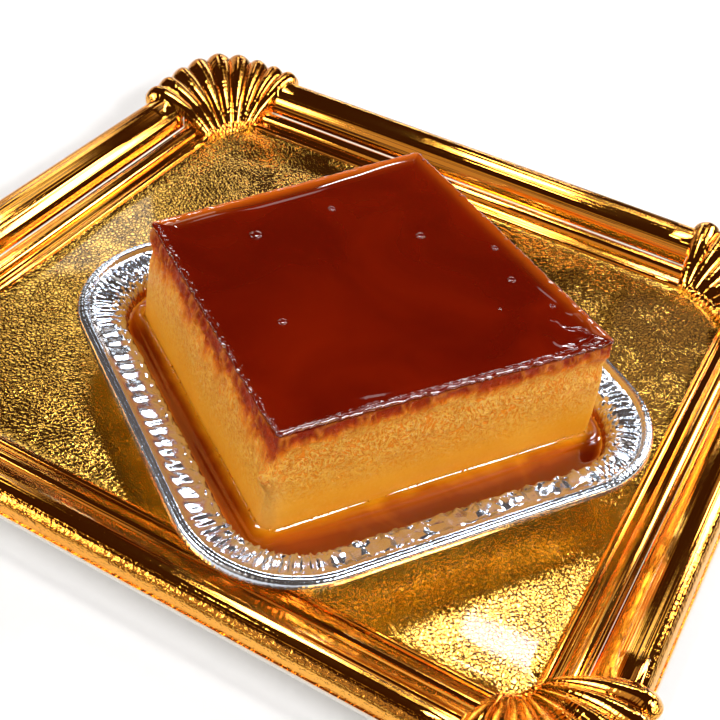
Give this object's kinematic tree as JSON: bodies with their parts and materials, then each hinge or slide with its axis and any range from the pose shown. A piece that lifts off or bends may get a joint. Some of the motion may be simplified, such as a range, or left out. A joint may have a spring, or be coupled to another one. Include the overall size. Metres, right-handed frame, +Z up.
{
  "type": "egg yolk flan on gold tray",
  "caption": "Square-cut baked egg custard with set caramel top, standing in syrup in its crimped foil case on a pressed gold tray with shell corners",
  "frame": {"origin": "under the middle of the gold tray, on the surface that it stands on", "axes": "X along the tray's long side, Y along its short side, Z up; the foil case and the flan are turned 55.1 degrees on the tray"},
  "size_m": [0.2628, 0.2422, 0.043],
  "materials": {
    "gold_foil_board": "mirror-bright gold foil pressed on card, leather-grained floor",
    "aluminium_foil": "bright crimped foil",
    "caramel_syrup": "clear wet amber syrup",
    "baked_custard": "moist fine-pored custard, browned towards the top",
    "set_caramel": "glassy dark red-brown caramel"
  },
  "bodies": {
    "root": {"gold_tray": "gold_foil_board", "foil_case": "aluminium_foil", "syrup_pool": "caramel_syrup", "custard_flan": "baked_custard", "caramel_top": "set_caramel"}
  },
  "joints": []
}
